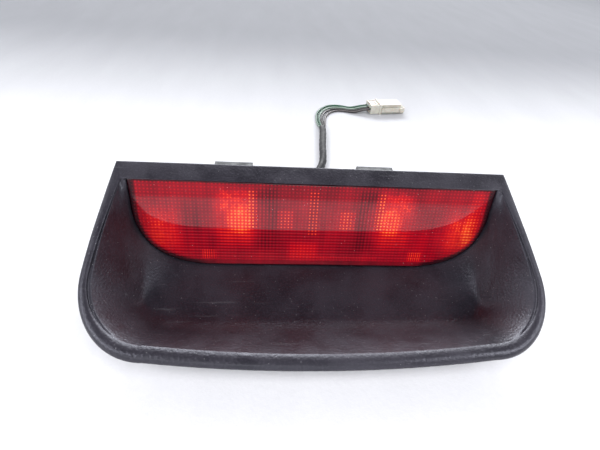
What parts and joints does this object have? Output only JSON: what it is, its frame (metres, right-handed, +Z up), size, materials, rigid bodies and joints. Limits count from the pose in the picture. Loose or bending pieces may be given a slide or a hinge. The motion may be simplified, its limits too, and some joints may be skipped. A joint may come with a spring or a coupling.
{
  "type": "third brake light",
  "caption": "Interior high-mounted brake light: black hood cover around a red prism lens, twin-bulb lamp housing behind it, taped lead set ending in an ivory plug.",
  "frame": {"origin": "middle of the lamp's footprint on the surface it stands on, without its leads and plug", "axes": "+X to the right as the lens is looked at, -Y out of the lens side, +Z up"},
  "size_m": [0.2557, 0.349, 0.062],
  "materials": {
    "cover_black": "finely grained black moulding",
    "lens_red": "clear deep red acrylic, glossy outside, prism grid inside",
    "seal_rubber": "soft black rubber",
    "housing_grey": "light grey moulding",
    "metallised": "vacuum metallised, bright",
    "bulb_glass": "clear bulb glass",
    "filament_wire": "bare drawn wire",
    "socket_black": "heat resistant black moulding",
    "contact_brass": "stamped brass",
    "clip_steel": "bright spring steel",
    "screw_zinc": "zinc plated steel",
    "wire_green": "green insulation with a thin pale stripe",
    "wire_black": "black insulation",
    "tape_black": "wound black harness tape",
    "plug_ivory": "ivory white moulding",
    "plug_pink": "pale pink moulding"
  },
  "bodies": {
    "lamp": {"hood_cover": "cover_black", "lens": "lens_red", "lens_seal": "seal_rubber", "lamp_housing": "housing_grey", "reflector_left": "metallised", "reflector_right": "metallised", "retaining_clip_left": "clip_steel", "retaining_clip_right": "clip_steel", "housing_screws": "screw_zinc", "lead_left_green": "wire_green", "lead_left_black": "wire_black", "lead_right_green": "wire_green", "lead_right_black": "wire_black", "harness_tape": "tape_black", "plug_wire_green_1": "wire_green", "plug_wire_green_2": "wire_green", "plug_wire_black_1": "wire_black", "plug_wire_black_2": "wire_black", "plug_housing": "plug_ivory", "plug_terminals": "contact_brass"},
    "socket_left": {"socket_left": "socket_black", "socket_seal_left": "seal_rubber", "socket_contacts_left": "contact_brass", "bulb_glass_left": "bulb_glass", "filament_left": "filament_wire", "bulb_wires_left": "filament_wire"},
    "socket_right": {"socket_right": "socket_black", "socket_seal_right": "seal_rubber", "socket_contacts_right": "contact_brass", "bulb_glass_right": "bulb_glass", "filament_right": "filament_wire", "bulb_wires_right": "filament_wire"},
    "tongue_left": {"clip_tongue_left": "clip_steel"},
    "tongue_right": {"clip_tongue_right": "clip_steel"},
    "latch": {"plug_latch": "plug_ivory"},
    "wire_lock": {"plug_wire_lock": "plug_pink"}
  },
  "joints": [
    {"name": "socket_left_twist", "type": "hinge", "parent": "lamp", "child": "socket_left", "pos_m": [-0.052, 0.0565, 0.01922], "axis": [0, 0.9511, -0.309], "range_deg": [0, 45]},
    {"name": "socket_right_twist", "type": "hinge", "parent": "lamp", "child": "socket_right", "pos_m": [0.052, 0.0565, 0.01922], "axis": [0, 0.9511, -0.309], "range_deg": [0, 45]},
    {"name": "clip_tongue_left_flex", "type": "hinge", "parent": "lamp", "child": "tongue_left", "pos_m": [-0.053, 0.0513, 0.0518], "axis": [1, 0, 0], "range_deg": [-13, 0], "stiffness_Nm_per_rad": 0.05},
    {"name": "clip_tongue_right_flex", "type": "hinge", "parent": "lamp", "child": "tongue_right", "pos_m": [0.039, 0.0513, 0.0518], "axis": [1, 0, 0], "range_deg": [-13, 0], "stiffness_Nm_per_rad": 0.05},
    {"name": "plug_latch_press", "type": "hinge", "parent": "lamp", "child": "latch", "pos_m": [0.10417, 0.25754, 0.006], "axis": [0, 0, 1], "range_deg": [0, 3.4], "stiffness_Nm_per_rad": 0.5},
    {"name": "plug_wire_lock_slide", "type": "slide", "parent": "lamp", "child": "wire_lock", "axis": [0.9848, 0.1736, 0], "range_m": [-0.0016, 0]}
  ]
}
